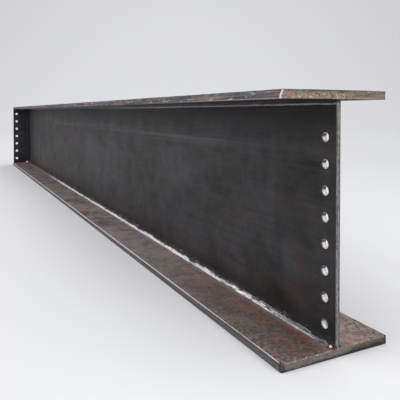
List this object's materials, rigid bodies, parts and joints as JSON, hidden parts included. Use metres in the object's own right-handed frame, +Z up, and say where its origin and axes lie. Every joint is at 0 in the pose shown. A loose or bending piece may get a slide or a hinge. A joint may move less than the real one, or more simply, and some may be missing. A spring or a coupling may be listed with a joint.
{
  "type": "welded h-beam",
  "caption": "Welded steel H-beam made up from flat plates, with bolt holes down the web at one end and a drilled end plate between the flanges at the other.",
  "frame": {"origin": "middle of the bottom flange's underside", "axes": "+X along the beam towards the end with the web holes, +Y across the flanges, +Z up"},
  "size_m": [4.6, 0.3, 0.588],
  "materials": {
    "rusty_plate": "rough, lightly rusted plate",
    "mill_scale_plate": "dark mill scale",
    "weld_metal": "bare weld metal"
  },
  "bodies": {
    "root": {"bottom_flange": "rusty_plate", "top_flange": "rusty_plate", "web_plate": "mill_scale_plate", "end_plate": "mill_scale_plate", "weld_bottom_front": "weld_metal", "weld_bottom_back": "weld_metal", "weld_top_front": "weld_metal", "weld_top_back": "weld_metal", "weld_end_web_front": "weld_metal", "weld_end_web_back": "weld_metal", "weld_end_bottom_front": "weld_metal", "weld_end_bottom_back": "weld_metal", "weld_end_top_front": "weld_metal", "weld_end_top_back": "weld_metal"}
  },
  "joints": []
}
